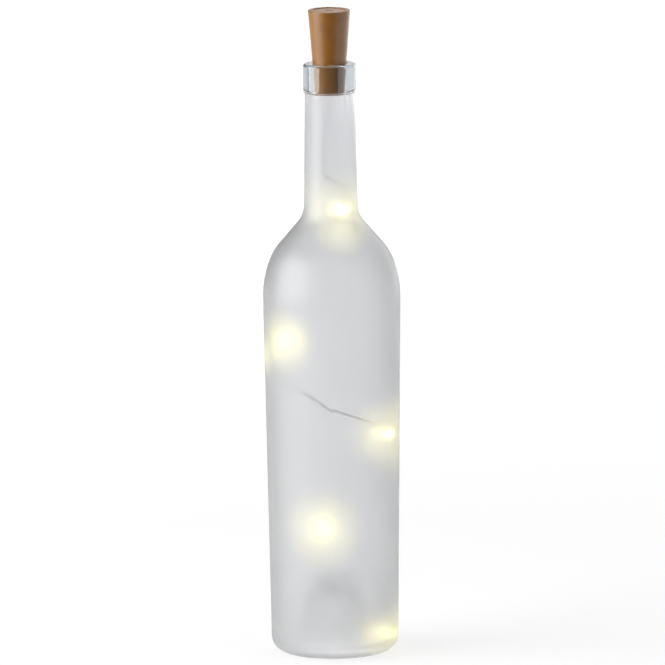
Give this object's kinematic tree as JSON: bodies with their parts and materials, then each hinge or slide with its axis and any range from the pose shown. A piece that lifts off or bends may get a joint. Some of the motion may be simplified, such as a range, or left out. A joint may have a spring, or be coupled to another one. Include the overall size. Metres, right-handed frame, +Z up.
{
  "type": "cork bottle light",
  "caption": "Frosted glass wine bottle with a clear lip band, a cork-shaped battery light in its mouth and a string of small LEDs inside.",
  "frame": {"origin": "centre of the ring that the bottle stands on", "axes": "+Z up the bottle's axis, +X to the right as the picture shows it, -Y towards the viewer"},
  "size_m": [0.076, 0.0758, 0.3586],
  "materials": {
    "frosted_glass": "etched satin below the lip, clear and polished lip band",
    "cork_plastic": "cork-grained moulding",
    "cap_plastic": "matt moulding",
    "tray_plastic": "natural moulding",
    "knob_plastic": "matt",
    "glue": "set hot glue",
    "board": "solder mask",
    "resistor": "matt",
    "steel": "nickel plated",
    "contact_metal": "spring bronze",
    "wire": "enamelled copper pair",
    "led_resin": "clear resin",
    "led_chip": "lit phosphor"
  },
  "bodies": {
    "bottle": {"glass_bottle": "frosted_glass", "led_chip_1": "led_chip", "led_chip_2": "led_chip", "led_chip_3": "led_chip", "led_chip_4": "led_chip", "led_chip_5": "led_chip", "led_drop_1": "led_resin", "led_drop_2": "led_resin", "led_drop_3": "led_resin", "led_drop_4": "led_resin", "led_drop_5": "led_resin", "led_wire_1": "wire", "led_wire_2": "wire", "led_wire_3": "wire", "led_wire_4": "wire", "led_wire_5": "wire"},
    "stopper": {"cork_shell": "cork_plastic", "wire_grommet": "glue", "lead_in_wire": "wire", "contact_board": "board", "contact_springs": "contact_metal"},
    "battery_carriage": {"battery_tray": "tray_plastic", "top_cap": "cap_plastic", "circuit_board": "board", "series_resistor": "resistor", "switch_can": "steel", "switch_pins": "contact_metal", "lower_contact": "contact_metal", "upper_contact": "contact_metal", "contact_strip": "contact_metal", "button_cell_1": "steel", "button_cell_2": "steel", "button_cell_3": "steel"},
    "switch": {"switch_knob": "knob_plastic"}
  },
  "joints": [
    {"name": "stopper_lift", "type": "slide", "parent": "bottle", "child": "stopper", "axis": [0, 0, 1], "range_m": [0, 0.02], "deforming": ["led_wire_1"]},
    {"name": "carriage_pull", "type": "slide", "parent": "stopper", "child": "battery_carriage", "axis": [0, 0, 1], "range_m": [0, 0.03]},
    {"name": "switch_slide", "type": "slide", "parent": "battery_carriage", "child": "switch", "axis": [1, 0, 0], "range_m": [0, 0.002]}
  ]
}
